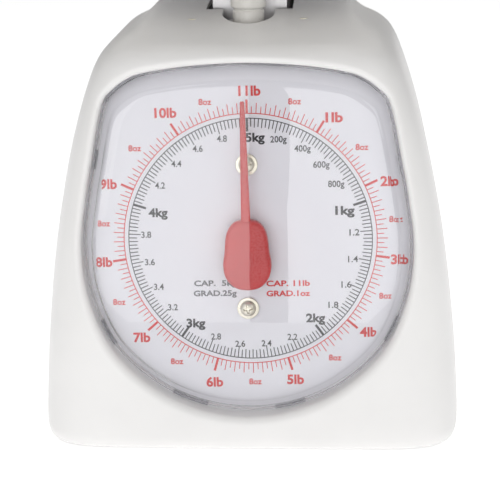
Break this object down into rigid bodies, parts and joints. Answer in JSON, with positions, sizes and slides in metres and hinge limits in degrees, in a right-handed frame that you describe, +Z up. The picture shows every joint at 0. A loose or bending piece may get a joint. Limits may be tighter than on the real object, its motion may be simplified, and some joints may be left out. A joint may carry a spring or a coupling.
{
  "type": "mechanical dial platform scale",
  "caption": "Tapered white kitchen and counter scale with a large round weight dial, a clear lens, a red pointer and a square platform on a spring carriage.",
  "frame": {"origin": "middle of the bounding box at the level the feet stand on", "axes": "+X is the scale's right as its reader sees it, +Y runs back from the dial, +Z is up; the dial faces -Y"},
  "size_m": [0.2144, 0.192, 0.2436],
  "materials": {
    "white_abs": "smooth moulded white",
    "clear": "clear moulded lens",
    "print": "printed dial face",
    "red": "red moulded pointer",
    "steel": "zinc-plated sheet",
    "zinc": "zinc-plated screws",
    "rubber": "black rubber",
    "brass": "turned and stamped brass",
    "spring": "drawn spring wire",
    "stainless": "brushed stainless sheet"
  },
  "bodies": {
    "casing": {"front_cover": "white_abs", "rear_cover": "white_abs", "base_plate": "white_abs", "base_screw_front_left": "zinc", "base_screw_front_right": "zinc", "base_screw_rear_left": "zinc", "base_screw_rear_right": "zinc", "foot_front_left": "rubber", "foot_front_right": "rubber", "foot_rear_left": "rubber", "foot_rear_right": "rubber", "cover_screw_left": "zinc", "cover_screw_right": "zinc", "cover_post_left": "steel", "cover_post_right": "steel", "dial_plate": "print", "dial_screw_upper": "zinc", "dial_screw_lower": "zinc", "dial_washer_upper": "zinc", "dial_washer_lower": "zinc", "dial_spacer_upper": "steel", "dial_spacer_lower": "steel", "dial_lens": "clear", "chassis_base": "steel", "rear_upright": "steel", "lower_chassis_pin": "steel", "upper_chassis_pin": "steel", "front_upright": "steel", "spring_hanger": "steel", "pinion_bracket": "steel", "front_bush": "brass", "rear_bush": "brass", "spring_left": "spring", "spring_right": "spring"},
    "carriage": {"carriage_frame": "steel", "lower_carriage_pin": "steel", "upper_carriage_pin": "steel", "platform_bracket": "steel", "bracket_screw_left": "zinc", "bracket_screw_right": "zinc", "zero_tongue": "steel", "rack_hanger": "brass", "rack": "brass", "platform_support": "steel", "platform_core": "white_abs", "platform_cover": "stainless"},
    "pointer": {"pointer": "red", "pointer_shaft": "steel", "pinion": "brass"},
    "lower_link": {"lower_link": "steel"},
    "upper_link": {"upper_link": "steel"},
    "zero_knob": {"zero_knob": "white_abs", "zero_screw": "zinc"}
  },
  "joints": [
    {"name": "carriage_slide", "type": "slide", "parent": "casing", "child": "carriage", "axis": [0, 0, 1], "range_m": [-0.01577, 0], "stiffness_N_per_m": 3100, "springref_m": 0.0055, "deforming": ["spring_left", "spring_right"]},
    {"name": "pointer_spin", "type": "hinge", "parent": "casing", "child": "pointer", "pos_m": [0, -0.071, 0.105], "axis": [0, -0.9962, 0.0872], "range_deg": [-360, 0]},
    {"name": "lower_link_swing", "type": "hinge", "parent": "casing", "child": "lower_link", "pos_m": [0, 0.05, 0.05], "axis": [1, 0, 0], "range_deg": [0, 16.2]},
    {"name": "upper_link_swing", "type": "hinge", "parent": "casing", "child": "upper_link", "pos_m": [0, 0.05, 0.15], "axis": [1, 0, 0], "range_deg": [0, 16.2]},
    {"name": "zero_knob_turn", "type": "hinge", "parent": "carriage", "child": "zero_knob", "pos_m": [0, -0.0338, 0.208], "axis": [0, 0, 1], "range_deg": [-180, 180]}
  ],
  "couplings": [
    {"joint": "pointer_spin", "follows": "carriage_slide", "rad_per_m": 398.47},
    {"joint": "lower_link_swing", "follows": "carriage_slide", "rad_per_m": -17.917},
    {"joint": "upper_link_swing", "follows": "carriage_slide", "rad_per_m": -17.917}
  ]
}
